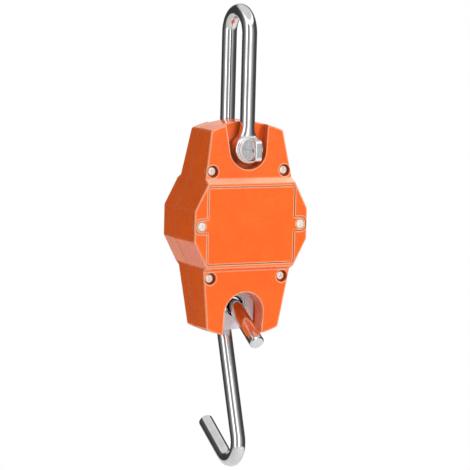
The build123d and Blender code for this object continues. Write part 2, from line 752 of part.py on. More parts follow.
for name, x in zip(key_names, key_columns):
    flange_front_y = front_face - case_wall - screw_fit
    with BuildPart() as key_cap:
        with BuildSketch(Plane(origin=(x, plunger_tip_y + key_travel + 0.1, case_z + key_z), z_dir=(0, 1, 0))):
            Circle(2.0)
        extrude(amount=flange_front_y - plunger_tip_y - key_travel - 0.1)
        with BuildSketch(Plane(origin=(x, flange_front_y - key_flange, case_z + key_z), z_dir=(0, 1, 0))):
            Circle(key_flange_radius)
        extrude(amount=key_flange)
        with BuildSketch(Plane(origin=(x, flange_front_y, case_z + key_z), z_dir=(0, 1, 0))):
            Circle(key_radius)
        extrude(amount=front_face + key_proud - flange_front_y)
        fillet(key_cap.edges().sort_by(Axis.Y)[-1], radius=0.8)
    key_cap.part.label = name
    export_step(key_cap.part, f"parts/{name}.step")

# ---------------------------------------------------------------- leads


def lead(points, radii):
    """A round lead along straight runs joined by arcs, one radius for each corner."""
    with BuildPart() as tube:
        with BuildLine() as route:
            FilletPolyline(*points, radius=radii)
        path = route.wires()[0]
        with BuildSketch(Plane(origin=path @ 0, z_dir=path % 0)):
            Circle(lead_dia / 2)
        sweep(path=path)
    return tube.part


def corner_radii(points):
    """0.45 of the shorter run over the tangent of half the turn, at each corner of a route."""
    corners = [Vector(*point) for point in points]
    radii = []
    for before, corner, after in zip(corners, corners[1:], corners[2:]):
        turn = math.radians((corner - before).get_angle(after - corner))
        shorter = min((corner - before).length, (after - corner).length)
        radii.append(0.45 * shorter / math.tan(turn / 2))
    return radii


socket_y = board_y - 2.0
cover_side_x = window_size[0] / 2 + gauge_cover_margin
cell_lead_z = case_z + cell_socket_at[1]
cell_lead_points = [(cover_side_x, cell_thickness / 2 + 1.3, cell_lead_z),
                    (cover_side_x + 4.5, cell_thickness / 2 + 1.3, cell_lead_z),
                    (cover_side_x + 8.5, socket_y, cell_lead_z),
                    (cell_socket_at[0] - lead_socket[0] / 2, socket_y, cell_lead_z)]
tray_side_x = battery_room[0] / 2 + tray_wall
battery_lead_z = case_z + battery_socket_at[1]
battery_lead_points = [(tray_side_x, battery_y, case_z - 7.0), (tray_side_x + 11.5, battery_y, case_z - 7.5),
                       (tray_side_x + 12.5, -4.0, case_z - 9.0), (tray_side_x + 11.0, socket_y, battery_lead_z),
                       (battery_socket_at[0] + lead_socket[0] / 2, socket_y, battery_lead_z)]

for name, points in (("load_cell_lead", cell_lead_points), ("battery_lead", battery_lead_points)):
    radii = corner_radii(points)
    print(name, "radii", [round(radius, 2) for radius in radii])
    wire = lead(points, radii)
    wire.label = name
    export_step(wire, f"parts/{name}.step")

# ---------------------------------------------------------------- screws


def screw_group(side, seat_y, places, screw):
    """Pan-head cross-recessed screws whose heads sit on seat_y and face side."""
    head_dia, head_height, shank_dia, length = screw
    with BuildPart() as group:
        with BuildSketch(facing(side, seat_y)):
            with Locations(*places):
                Circle(head_dia / 2)
        extrude(amount=head_height)
        fillet(group.edges().group_by(Axis.Y)[0 if side == rear else -1], radius=0.35 * head_height)
        with BuildSketch(facing(side, seat_y)):
            with Locations(*places):
                Circle(shank_dia / 2)
        extrude(amount=-length)
        with BuildSketch(facing(side, seat_y + side * head_height * 0.45)):
            with Locations(*places):
                Rectangle(head_dia * 0.62, head_dia * 0.14)
                Rectangle(head_dia * 0.14, head_dia * 0.62)
        extrude(amount=head_height, mode=Mode.SUBTRACT)
    return group.part


screw_sets = {
    "case_screws": (rear, screw_floor_y, case_screws_at, case_screw),
    "cover_screws": (rear, rear_face + cover_sink + 1.0, cover_screws_at, cover_screw),
    "load_cell_screws": (front, cell_thickness / 2, cell_screws_at, cell_screw),
    "board_screws": (rear, board_y, board_screws_at, board_screw),
}

for name, settings in screw_sets.items():
    screws = screw_group(*settings)
    screws.label = name
    export_step(screws, f"parts/{name}.step")
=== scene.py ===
"""Finishes and studio for a compact hanging crane scale: shackle, weighing case and S-hook."""

import math

import bpy
import numpy as np
from bpy.props import FloatProperty, FloatVectorProperty, IntProperty, PointerProperty, StringProperty
from mathutils import Matrix, Vector


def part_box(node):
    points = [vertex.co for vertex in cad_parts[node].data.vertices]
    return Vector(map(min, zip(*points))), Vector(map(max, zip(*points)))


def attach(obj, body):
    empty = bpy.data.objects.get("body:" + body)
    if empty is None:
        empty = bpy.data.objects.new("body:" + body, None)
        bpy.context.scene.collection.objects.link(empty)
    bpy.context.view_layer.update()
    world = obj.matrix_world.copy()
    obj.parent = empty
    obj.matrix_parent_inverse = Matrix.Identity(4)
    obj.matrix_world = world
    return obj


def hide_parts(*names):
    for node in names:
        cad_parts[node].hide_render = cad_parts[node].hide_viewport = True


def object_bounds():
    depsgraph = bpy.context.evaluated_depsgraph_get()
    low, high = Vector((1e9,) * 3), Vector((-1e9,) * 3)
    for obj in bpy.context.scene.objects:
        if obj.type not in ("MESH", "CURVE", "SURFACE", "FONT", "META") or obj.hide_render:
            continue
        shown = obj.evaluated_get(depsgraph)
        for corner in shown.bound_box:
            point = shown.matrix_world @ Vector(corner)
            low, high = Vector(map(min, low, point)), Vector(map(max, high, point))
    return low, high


bl_info = {
    "name": "Crane scale finishes",
    "version": (1, 0, 0),
    "blender": (4, 5, 0),
    "location": "View3D > Sidebar > Crane scale",
    "description": "Gives a hanging crane scale its materials, small fittings and studio",
    "category": "Material",
}

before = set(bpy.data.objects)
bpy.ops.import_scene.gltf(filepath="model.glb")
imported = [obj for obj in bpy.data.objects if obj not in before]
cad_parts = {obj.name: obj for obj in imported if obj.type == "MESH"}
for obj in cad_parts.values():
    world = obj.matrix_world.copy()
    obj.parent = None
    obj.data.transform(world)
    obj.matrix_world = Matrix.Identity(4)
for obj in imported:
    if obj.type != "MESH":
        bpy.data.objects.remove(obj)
cad_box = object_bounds()
MM = 0.001

# Cosines between the broken and the true normal where an edge's painted highlight begins and is full.
EDGE_BEGINS, EDGE_FULL = 0.9985, 0.965


# ------------------------------------------------------------------ small helpers

def linear(code):
    """An sRGB hex colour as linear red, green, blue and alpha."""
    srgb = np.array([int(code[i:i + 2], 16) for i in (0, 2, 4)]) / 255
    rgb = np.where(srgb <= 0.04045, srgb / 12.92, ((srgb + 0.055) / 1.055) ** 2.4)
    return (*(float(channel) for channel in rgb), 1.0)


def add_node(tree, kind, values=None, links=None, **settings):
    """Adds a node, sets its properties and unlinked inputs, and links the others."""
    node = tree.nodes.new(kind)
    for key, value in settings.items():
        setattr(node, key, value)
    for key, value in (values or {}).items():
        node.inputs[key].default_value = value
    for key, socket in (links or {}).items():
        tree.links.new(socket, node.inputs[key])
    return node


def start_material(name, **values):
    """A new material with a Principled shader whose sockets take values; returns it, its tree and shader."""
    material = bpy.data.materials.new(name)
    material.use_nodes = True
    tree = material.node_tree
    tree.nodes.clear()
    sockets = {key.replace("_", " "): value for key, value in values.items()}
    shader = add_node(tree, "ShaderNodeBsdfPrincipled", sockets)
    add_node(tree, "ShaderNodeOutputMaterial", links={"Surface": shader.outputs["BSDF"]})
    return material, tree, shader


def millimetres(tree, grain=(1, 1, 1)):
    """Object coordinates counted in grains, where grain is a size in millimetres along each axis."""
    place = add_node(tree, "ShaderNodeTexCoord").outputs["Object"]
    scale = [1 / (MM * size) for size in grain]
    return add_node(tree, "ShaderNodeVectorMath", {1: scale}, {0: place}, operation="MULTIPLY").outputs[0]


def grain_noise(tree, grain, detail=3.0, low=0.35, high=0.65):
    """Smooth noise whose lumps measure grain in millimetres, stretched from 0 to 1."""
    noise = add_node(tree, "ShaderNodeTexNoise", {"Scale": 1.0, "Detail": detail},
                     {"Vector": millimetres(tree, grain)})
    return span(tree, noise.outputs["Fac"], start=low, end=high)


def blend_colours(tree, factor, first, second):
    """A colour that runs from first to second with factor; either may be a hex code or a socket."""
    mix = add_node(tree, "ShaderNodeMix", links={"Factor": factor}, data_type="RGBA")
    for socket, colour in ((mix.inputs[6], first), (mix.inputs[7], second)):
        if isinstance(colour, str):
            socket.default_value = linear(colour)
        else:
            tree.links.new(colour, socket)
    return mix.outputs[2]


def span(tree, value, low=0.0, high=1.0, start=0.0, end=1.0):
    """A value that goes from start to end carried to the range from low to high, and held at both ends."""
    reach = {"From Min": start, "From Max": end, "To Min": low, "To Max": high}
    return add_node(tree, "ShaderNodeMapRange", reach, {"Value": value}).outputs["Result"]


def rounded_normal(tree, radius_mm):
    """The surface normal as if sharp edges were broken to a radius."""
    return add_node(tree, "ShaderNodeBevel", {"Radius": radius_mm * MM}, samples=6).outputs["Normal"]


def edge_mask(tree, normal):
    """0 on flat surface and up to 1 where the broken edge turns away from the true surface."""
    true_normal = add_node(tree, "ShaderNodeNewGeometry").outputs["Normal"]
    along = add_node(tree, "ShaderNodeVectorMath", links={0: normal, 1: true_normal},
                     operation="DOT_PRODUCT").outputs["Value"]
    return span(tree, along, start=EDGE_BEGINS, end=EDGE_FULL)


def relief(tree, height, depth_mm, normal=None):
    """A bump whose full height is depth_mm, laid over an optional normal."""
    links = {"Height": height}
    if normal is not None:
        links["Normal"] = normal
    bump = add_node(tree, "ShaderNodeBump", {"Strength": 1.0, "Distance": depth_mm * MM}, links)
    return bump.outputs["Normal"]


def connect(tree, shader, **sockets):
    """Links sockets to the shader's inputs; an underscore stands for a space."""
    for key, socket in sockets.items():
        tree.links.new(socket, shader.inputs[key.replace("_", " ")])


def coat_node(material, *nodes):
    """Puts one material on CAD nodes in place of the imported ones."""
    for name in nodes:
        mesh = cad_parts[name].data
        mesh.materials.clear()
        mesh.materials.append(material)


def add_piece(name, points, faces, material, body, slot, smooth=True):
    """A mesh object in the frame's own coordinates that rides on a body."""
    mesh = bpy.data.meshes.new(name)
    mesh.from_pydata([tuple(p) for p in np.asarray(points, float)], [], [tuple(f) for f in faces])
    mesh.polygons.foreach_set("use_smooth", [smooth] * len(mesh.polygons))
    mesh.materials.append(material)
    mesh.update()
    piece = bpy.data.objects.new(name, mesh)
    bpy.context.scene.collection.objects.link(piece)
    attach(piece, body)
    return piece


def grid_faces(rows, columns, wrap_rows=False, wrap_columns=False, first=0):
    """Quads over a grid of points numbered row by row from first."""
    r = np.arange(rows if wrap_rows else rows - 1)
    c = np.arange(columns if wrap_columns else columns - 1)
    r, c = (a.ravel() for a in np.meshgrid(r, c, indexing="ij"))
    r2, c2 = (r + 1) % rows, (c + 1) % columns
    return first + np.stack([r * columns + c, r * columns + c2, r2 * columns + c2, r2 * columns + c], axis=1)


# ------------------------------------------------------------------ sizes and colours

class CaseFinish(bpy.types.PropertyGroup):
    paint: StringProperty(name="Paint", description="Case colour, sRGB hex", default="FF6809")
    paint_deep: StringProperty(name="Deep paint", description="Colour where the lacquer lies thicker",
                               default="FB6307")
    # Edge colours a painted highlight along edges and on upward ledges, and also the faint pale dust specks.
    edge: StringProperty(name="Edge", description="Colour of the thin lacquer along edges", default="FFCBA4")
    shade_reach: FloatProperty(name="Shade reach", description="How far off walls still darken a hole",
                               default=7 * MM, unit="LENGTH", subtype="DISTANCE")
    # Shade is painted shade, blended into grooves, holes and corners where little light reaches.
    shade: StringProperty(name="Shade", description="Colour that gathers in grooves and holes, sRGB hex",
                          default="8C5C20")
    roughness: FloatProperty(name="Roughness", description="Roughness of the lacquer", default=0.24,
                             min=0, max=1)
    peel: FloatProperty(name="Orange peel", description="Width of the lacquer's ripples in millimetres",
                        default=1.6, min=0.1)
    edge_radius: FloatProperty(name="Broken edge", description="Radius of moulded edges in millimetres",
                               default=1.8, min=0.05)
    rubber: StringProperty(name="Rubber", description="Colour of the cover's seal, sRGB hex",
                           default="1B1B1C")
    cord: StringProperty(name="Cord", description="Colour of the cord between the shells, sRGB hex",
                         default="D66A22")


class SteelFinish(bpy.types.PropertyGroup):
    bright: StringProperty(name="Polished steel", description="Colour of the bars, sRGB hex",
                           default="E2E2E4")
    roughness: FloatProperty(name="Roughness", description="Roughness of the polished bars", default=0.09,
                             min=0, max=1)
    draw_line: FloatProperty(name="Draw line", description="Width of the bar's drawing lines in millimetres",
                             default=0.35, min=0.05)
    head_thickness: FloatProperty(name="Pin head", description="Thickness of the pin's head",
                                  default=2.5 * MM, unit="LENGTH", subtype="DISTANCE")
    face_bead: FloatProperty(name="Face bead", description="Radius of the bead on the face of the pin's head",
                             default=0.7 * MM, unit="LENGTH", subtype="DISTANCE")
    eye_bead: FloatProperty(name="Eye bead", description="Radius of the bead against the shackle's eye",
                            default=0.6 * MM, unit="LENGTH", subtype="DISTANCE")
    screw: StringProperty(name="Screw steel", description="Colour of nickelled screws, sRGB hex",
                          default="FFFAF0")
    cell: StringProperty(name="Load cell", description="Colour of the blasted load cell, sRGB hex",
                         default="EFECF2")
    cell_grain: FloatProperty(name="Blast grain", description="Grain of the blasted surface in millimetres",
                              default=0.5, min=0.05)


class BatteryFinish(bpy.types.PropertyGroup):
    tray: StringProperty(name="Tray", description="Colour of the tray's moulding, sRGB hex", default="202124")
    sleeve: StringProperty(name="Sleeve", description="Colour of the cells' sleeve, sRGB hex",
                           default="2B2D33")
    band: StringProperty(name="Band", description="Colour of the band at one end, sRGB hex", default="B9793A")
    rim: FloatProperty(name="Rim", description="Bare steel at each end of a cell", default=1.6 * MM,
                       unit="LENGTH", subtype="DISTANCE")
    spring_wide: FloatProperty(name="Spring foot", description="Outer radius of a contact spring at its foot",
                               default=4.0 * MM, unit="LENGTH", subtype="DISTANCE")
    spring_narrow: FloatProperty(name="Spring tip", description="Outer radius of a contact spring at its tip",
                                 default=2.6 * MM, unit="LENGTH", subtype="DISTANCE")
    spring_wire: FloatProperty(name="Spring wire", description="Wire of the contact springs",
                               default=0.5 * MM, unit="LENGTH", subtype="DISTANCE")
    spring_turns: IntProperty(name="Turns", description="Turns of each contact spring", default=4, min=1)


class DisplayFinish(bpy.types.PropertyGroup):
    panel: StringProperty(name="Panel", description="Colour of the display, sRGB hex", default="A9B49A")
    segment: StringProperty(name="Segments", description="Colour of lit segments, sRGB hex", default="22261F")
    key: StringProperty(name="Keys", description="Colour of the keys, sRGB hex", default="4A4D52")
    mark: StringProperty(name="Marks", description="Colour of the marks on the keys, sRGB hex",
                         default="E8E6E0")
    border: FloatProperty(name="Border", description="Width of the black border round the window",
                          default=3.4 * MM, unit="LENGTH", subtype="DISTANCE")
    digit_height: FloatProperty(name="Digit height", description="Height of the digits", default=14 * MM,
                                unit="LENGTH", subtype="DISTANCE")
    digit_count: IntProperty(name="Digits", description="Number of digits", default=5, min=1, max=6)


class StudioSettings(bpy.types.PropertyGroup):
    turn: FloatProperty(name="Turn", description="Camera's turn to the object's left, in degrees",
                        default=26.65)
    height: FloatProperty(name="Height", description="Camera's elevation, in degrees", default=6.99)
    roll: FloatProperty(name="Roll", description="Camera's roll, in degrees", default=1.45)
    distance: FloatProperty(name="Distance", description="Camera to aim point", default=1.9763,
                            unit="LENGTH", subtype="DISTANCE")
    aim: FloatVectorProperty(name="Aim", description="Aim point from the middle of the object",
                             default=(0.0072, 0.0133, 0.0), unit="LENGTH", subtype="TRANSLATION")
    lens: FloatProperty(name="Lens", description="Focal length in millimetres on a 36 mm frame",
                        default=185.3)
    floor_drop: FloatProperty(name="Floor", description="Floor below the hook", default=0.4,
                              unit="LENGTH", subtype="DISTANCE")
    floor_radius: FloatProperty(name="Floor radius", description="Radius of the floor's disc", default=1.2,
                                unit="LENGTH", subtype="DISTANCE")
    soft_levels: FloatVectorProperty(name="Soft light", size=2, min=0, default=(0.32, 0.62),
                                     description="Soft light from straight below and above")
    ceiling_levels: FloatVectorProperty(name="Ceiling", size=2, min=0, default=(0.8, 2.3),
                                        description="What polished metal sees of the ceiling, back and front")


# ------------------------------------------------------------------ materials

def away_from_joint(tree):
    """1 over most of the case, and nearly 0 beside the joint, whose edges are sharp and get no painted
    highlight.
    """
    joint_low, joint_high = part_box("case_gasket")
    depth = add_node(tree, "ShaderNodeSeparateXYZ", links={"Vector": millimetres(tree)}).outputs["Y"]
    side = add_node(tree, "ShaderNodeMath", {1: (joint_low.y + joint_high.y) / 2 / MM}, {0: depth},
                    operation="SUBTRACT").outputs[0]
    distance = add_node(tree, "ShaderNodeMath", links={0: side}, operation="ABSOLUTE").outputs[0]
    return span(tree, distance, low=0.12, start=1.8, end=3.4)


def painted_ledge_highlight(tree):
    """Mask of a painted highlight: 0.8 on faces that slant up and outwards, front or rear, as the ledges do,
    and 0 elsewhere.
    """
    facing = add_node(tree, "ShaderNodeSeparateXYZ",
                      links={"Vector": add_node(tree, "ShaderNodeTexCoord").outputs["Normal"]})
    slant = add_node(tree, "ShaderNodeMath", links={0: facing.outputs["Y"]}, operation="ABSOLUTE").outputs[0]
    return add_node(tree, "ShaderNodeMath", operation="MULTIPLY",
                    links={0: span(tree, facing.outputs["Z"], start=0.75, end=0.85),
                           1: span(tree, slant, high=0.8, start=0.36, end=0.42)}).outputs[0]


def lacquered_case(finish):
    """Moulded ABS under glossy orange lacquer: even, faintly rippled, with a painted highlight on edges and
    upward ledges, and painted shade, brown, in holes.
    """
    material, tree, shader = start_material("lacquered_abs_orange", Coat_Weight=0.7, Coat_Roughness=0.08,
                                            IOR=1.3)
    drift = grain_noise(tree, (14, 14, 14), 2.0)
    ripple = grain_noise(tree, (finish.peel,) * 3, 2.0)
    dust = grain_noise(tree, (0.5, 0.5, 0.5), 1.0, 0.66, 0.78)
    normal = rounded_normal(tree, finish.edge_radius)
    colour = blend_colours(tree, drift, finish.paint_deep, finish.paint)
    colour = blend_colours(tree, span(tree, dust, high=0.18), colour, finish.edge)
    # Openness is 1 in the open and falls to 0 in deep holes and corners.
    openness = add_node(tree, "ShaderNodeAmbientOcclusion", {"Distance": finish.shade_reach},
                        samples=6).outputs["AO"]
    proud = span(tree, openness, start=0.6, end=0.85)
    # Painted highlight: convex edges away from holes and the joint are blended toward the edge colour.
    pale = add_node(tree, "ShaderNodeMath", operation="MULTIPLY",
                    links={0: edge_mask(tree, normal), 1: proud}).outputs[0]
    pale = add_node(tree, "ShaderNodeMath", operation="MULTIPLY",
                    links={0: pale, 1: away_from_joint(tree)}).outputs[0]
    colour = blend_colours(tree, pale, colour, finish.edge)
    # Painted highlight on faces that slant upwards, as the ledges do.
    colour = blend_colours(tree, painted_ledge_highlight(tree), colour, finish.edge)
    # Painted shade: deep holes and corners are blended toward the shade colour.
    colour = blend_colours(tree, span(tree, openness, high=0.7, start=0.62, end=0.25), colour, finish.shade)
    connect(tree, shader, Base_Color=colour,
            Roughness=span(tree, ripple, finish.roughness - 0.05, finish.roughness + 0.06),
            Normal=relief(tree, ripple, 0.012, normal), Coat_Normal=relief(tree, ripple, 0.006, normal))
    return material


def polished_bar(finish, name, along=(1, 1, 40), worn=1.0):
    """Drawn round bar, polished and plated: sharp reflections, broken up by faint lines along the bar."""
    material, tree, shader = start_material(name, Metallic=1.0)
    lines = grain_noise(tree, [finish.draw_line * part for part in along], 2.0)
    smudge = grain_noise(tree, (9, 9, 14), 4.0, 0.4, 0.7)
    nicks = grain_noise(tree, (0.9, 0.9, 0.9), 1.0, 0.69, 0.74)
    normal = rounded_normal(tree, 0.3)
    colour = blend_colours(tree, lines, "D2D2D5", finish.bright)
    colour = blend_colours(tree, span(tree, smudge, high=0.25 * worn), colour, "A9A6A2")
    rough = add_node(tree, "ShaderNodeMath",
                     links={0: span(tree, lines, finish.roughness - 0.03, finish.roughness + 0.02),
                            1: span(tree, smudge, high=0.06 * worn)}, operation="ADD").outputs[0]
    height = add_node(tree, "ShaderNodeMath", {1: 0.35}, {0: nicks, 2: lines},
                      operation="MULTIPLY_ADD").outputs[0]
    connect(tree, shader, Base_Color=colour, Roughness=rough, Normal=relief(tree, height, 0.0008, normal))
    return material


def turned_pin(finish):
    """Turned and plated pin steel: fine rings about the pin's axis on its flat faces, bright and satin."""
    material, tree, shader = start_material("turned_pin_steel", Metallic=0.85)
    low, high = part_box("shackle_pin")
    centre = add_node(tree, "ShaderNodeMapping", {"Location": (0, 0, -(low.z + high.z) / 2 / MM)},
                      {"Vector": millimetres(tree)}, vector_type="POINT").outputs["Vector"]
    flat = add_node(tree, "ShaderNodeVectorMath", {1: (1, 0, 1)}, {0: centre},
                    operation="MULTIPLY").outputs[0]
    rings = add_node(tree, "ShaderNodeTexWave", {"Scale": 0.42, "Distortion": 0.4, "Detail": 1.0},
                     {"Vector": flat}, wave_type="RINGS", rings_direction="SPHERICAL").outputs["Fac"]
    fine = grain_noise(tree, (0.3, 0.3, 0.3))
    normal = rounded_normal(tree, 0.35)
    colour = blend_colours(tree, rings, "D6D6D8", "F0F0F2")
    connect(tree, shader, Base_Color=blend_colours(tree, span(tree, fine, high=0.2), colour, "C8C6C4"),
            Roughness=span(tree, fine, 0.16, 0.24), Normal=relief(tree, rings, 0.02, normal))
    return material


def blasted_cell(finish):
    """Bead-blasted and nickelled alloy of the load cell: light grey, even, with a fine grain."""
    material, tree, shader = start_material("blasted_nickel", Metallic=0.2)
    grain = grain_noise(tree, (finish.cell_grain,) * 3, 2.0)
    stain = grain_noise(tree, (11, 11, 11), 3.0)
    normal = rounded_normal(tree, 0.4)
    colour = blend_colours(tree, grain, "DEDAE0", finish.cell)
    colour = blend_colours(tree, span(tree, stain, high=0.3), colour, "F0EEF2")
    connect(tree, shader, Base_Color=colour, Roughness=span(tree, grain, 0.38, 0.52),
            Normal=relief(tree, grain, 0.02, normal))
    return material


def nickelled_screw(finish):
    """Zinc-nickel plated screw steel: warm, bright and slightly milky, with fine tool marks."""
    material, tree, shader = start_material("nickelled_screw_steel", Metallic=0.4)
    marks = grain_noise(tree, (0.25, 0.25, 0.25), 2.0)
    tarnish = grain_noise(tree, (2.5, 2.5, 2.5), 3.0)
    normal = rounded_normal(tree, 0.15)
    colour = blend_colours(tree, span(tree, tarnish, high=0.35), finish.screw, "DDD8CC")
    connect(tree, shader, Base_Color=colour, Roughness=span(tree, marks, 0.26, 0.4),
            Normal=relief(tree, marks, 0.006, normal))
    return material


def moulded(name, first, second, grain, depth_mm, rough, edge_radius=0.3, **values):
    """A moulded or cast surface: two near colours in a grain, a matching relief, and broken edges painted
    paler as a highlight.
    """
    material, tree, shader = start_material(name, **values)
    fine = grain_noise(tree, (grain,) * 3, 3.0)
    broad = grain_noise(tree, (grain * 14,) * 3, 2.0)
    normal = rounded_normal(tree, edge_radius)
    colour = blend_colours(tree, fine, first, second)
    colour = blend_colours(tree, span(tree, broad, high=0.35), colour, second)
    # Painted highlight: edges are blended a quarter of the way toward white.
    colour = blend_colours(tree, span(tree, edge_mask(tree, normal), high=0.25), colour, "FFFFFF")
    connect(tree, shader, Base_Color=colour, Roughness=span(tree, fine, rough - 0.05, rough + 0.06),
            Normal=relief(tree, fine, depth_mm, normal))
    return material


def printed_sleeve(finish):
    """Shrink sleeve of a dry cell: dark foil with a coloured band at one end and a bare steel rim."""
    material, tree, shader = start_material("printed_cell_sleeve", Metallic=0.35)
    low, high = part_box("battery_cell_1")
    length = (high.x - low.x) / MM
    x = add_node(tree, "ShaderNodeSeparateXYZ", links={"Vector": millimetres(tree)}).outputs["X"]
    band = add_node(tree, "ShaderNodeMath", {1: length * 0.22}, {0: x}, operation="GREATER_THAN").outputs[0]
    reach = add_node(tree, "ShaderNodeMath", links={0: x}, operation="ABSOLUTE").outputs[0]
    rim = add_node(tree, "ShaderNodeMath", {1: length / 2 - finish.rim / MM}, {0: reach},
                   operation="GREATER_THAN").outputs[0]
    fine = grain_noise(tree, (0.4, 0.4, 0.4))
    colour = blend_colours(tree, band, finish.sleeve, finish.band)
    colour = blend_colours(tree, rim, colour, "C4C6C8")
    connect(tree, shader, Base_Color=colour, Roughness=span(tree, fine, 0.22, 0.36),
            Normal=relief(tree, fine, 0.008))
    return material


def gauge_foil():
    """Etched copper grid on amber polyimide film."""
    material, tree, shader = start_material("polyimide_gauge_foil", Metallic=0.2)
    grid = add_node(tree, "ShaderNodeTexWave", {"Scale": 0.5, "Distortion": 0.0},
                    {"Vector": millimetres(tree, (0.5, 0.5, 0.5))}, bands_direction="Y")
    colour = blend_colours(tree, grid.outputs["Fac"], "B06A2A", "D9A066")
    connect(tree, shader, Base_Color=colour, Roughness=span(tree, grid.outputs["Fac"], 0.3, 0.45),
            Normal=relief(tree, grid.outputs["Fac"], 0.02))
    return material


def circuit_board():
    """Glass-epoxy board: green solder mask over copper tracks that show as lighter, raised lines."""
    material, tree, shader = start_material("green_solder_mask", Coat_Weight=0.3, Coat_Roughness=0.15)
    tracks = add_node(tree, "ShaderNodeTexVoronoi", {"Scale": 1.0, "Randomness": 0.25},
                      {"Vector": millimetres(tree, (2.6, 2.6, 2.6))}, feature="DISTANCE_TO_EDGE")
    line = span(tree, tracks.outputs["Distance"], start=0.09, end=0.05)
    weave = grain_noise(tree, (0.6, 0.6, 0.6))
    colour = blend_colours(tree, line, "0E4A2A", "1E7044")
    colour = blend_colours(tree, span(tree, weave, high=0.2), colour, "0A3A20")
    connect(tree, shader, Base_Color=colour, Roughness=span(tree, weave, 0.3, 0.42),
            Normal=relief(tree, line, 0.035))
    return material


def display_glass(finish):
    """Reflective display: grey-green, with the faint grid of its electrodes."""
    material, tree, shader = start_material("display_grey_green", Coat_Weight=0.4, Coat_Roughness=0.05)
    grid = add_node(tree, "ShaderNodeTexBrick",
                    {"Color1": linear(finish.panel), "Color2": linear("B3BDA4"), "Mortar": linear("98A48A"),
                     "Scale": 1.0, "Mortar Size": 0.05, "Brick Width": 1.0, "Row Height": 1.0},
                    {"Vector": add_node(tree, "ShaderNodeMapping", {"Rotation": (math.pi / 2, 0, 0)},
                                        {"Vector": millimetres(tree, (0.8, 0.8, 0.8))}).outputs["Vector"]},
                    offset=0.0)
    haze = grain_noise(tree, (8, 8, 8))
    colour = blend_colours(tree, span(tree, haze, high=0.3), grid.outputs["Color"], "9DA88F")
    connect(tree, shader, Base_Color=colour,
            Roughness=span(tree, haze, 0.14, 0.22), Normal=relief(tree, grid.outputs["Fac"], 0.01))
    return material


def clear_window():
    """Clear polycarbonate lens: transparent, with a hard coat that carries faint hairlines."""
    material, tree, shader = start_material("clear_polycarbonate", Transmission_Weight=1.0, IOR=1.58,
                                            Base_Color=linear("F4F7F7"), Coat_Weight=0.3, Coat_Roughness=0.03)
    hairs = grain_noise(tree, (0.25, 0.25, 9), 2.0, 0.6, 0.72)
    connect(tree, shader, Roughness=span(tree, hairs, 0.02, 0.06), Normal=relief(tree, hairs, 0.001))
    return material


# ------------------------------------------------------------------ operators

class FinishCase(bpy.types.Operator):
    """Lacquers the shells and the battery cover, and finishes the rubber seal and the silicone gasket"""
    bl_idname = "crane_scale.finish_case"
    bl_label = "Finish case"

    def execute(self, context):
        finish = context.scene.crane_case
        coat_node(lacquered_case(finish), "rear_shell", "front_shell", "battery_cover")
        # Compression-moulded nitrile rubber: matt black with a dusty bloom.
        rubber = moulded("moulded_nitrile_rubber", finish.rubber, "2A2A2B", 0.5, 0.02, 0.72)
        coat_node(rubber, "battery_cover_seal")
        # Silicone cord between the shells: satin and nearly the case's colour, so the joint hardly shows.
        cord = moulded("amber_silicone_cord", finish.cord, "E07A30", 0.5, 0.01, 0.45)
        coat_node(cord, "case_gasket")
        return {"FINISHED"}


class FinishSteel(bpy.types.Operator):
    """Polishes the shackle, the pin, the hook and the bush, and plates the screws"""
    bl_idname = "crane_scale.finish_steel"
    bl_label = "Finish steel"

    def execute(self, context):
        finish = context.scene.crane_steel
        coat_node(polished_bar(finish, "polished_shackle_bar"), "shackle_bow")
        coat_node(polished_bar(finish, "polished_hook_bar", (1, 8, 60)), "s_hook")
        pin_steel = turned_pin(finish)
        coat_node(pin_steel, "shackle_pin")
        self.add_beads(finish, pin_steel)
        coat_node(polished_bar(finish, "turned_bush_steel", (1, 12, 1), 0.6), "eye_bush", "bush_ring")
        coat_node(nickelled_screw(finish), "case_screws", "cover_screws", "load_cell_screws", "board_screws")
        coat_node(blasted_cell(finish), "load_cell")
        coat_node(gauge_foil(), "strain_gauges")
        # Poured silicone: soft grey with a slight sag texture.
        coat_node(moulded("poured_silicone", "6C6E70", "7B7D7F", 1.2, 0.03, 0.5), "gauge_cover")
        return {"FINISHED"}

    def add_beads(self, finish, pin_steel):
        # Two turned beads round the pin's head: one on its face, one against the shackle's eye.
        pin_low, pin_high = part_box("shackle_pin")
        eye_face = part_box("shackle_bow")[0].y
        axis_z = (pin_low.z + pin_high.z) / 2
        head = (pin_high.x - pin_low.x) / 2
        beads = [turned_bead(head - 0.75 * MM, finish.face_bead, eye_face - finish.head_thickness, axis_z),
                 turned_bead(head + 0.1 * MM, finish.eye_bead, eye_face - 0.75 * finish.eye_bead, axis_z)]
        add_piece("pin_head_beads", *join_slabs(beads), pin_steel, "shackle", "pin_steel")


def turned_bead(ring_radius, bead_radius, y, z):
    """A torus about Y: point (s, a) = (ring + bead * cos a) * (cos s, sin s) in XZ, and bead * sin a in Y."""
    s = np.linspace(0, 2 * math.pi, 96, endpoint=False)[:, None]
    a = np.linspace(0, 2 * math.pi, 14, endpoint=False)[None, :]
    reach = ring_radius + bead_radius * np.cos(a)
    across = y + bead_radius * np.sin(a) + 0 * s
    points = np.stack([reach * np.cos(s), across, z + reach * np.sin(s)], axis=-1)
    return points.reshape(-1, 3), grid_faces(96, 14, wrap_rows=True, wrap_columns=True)


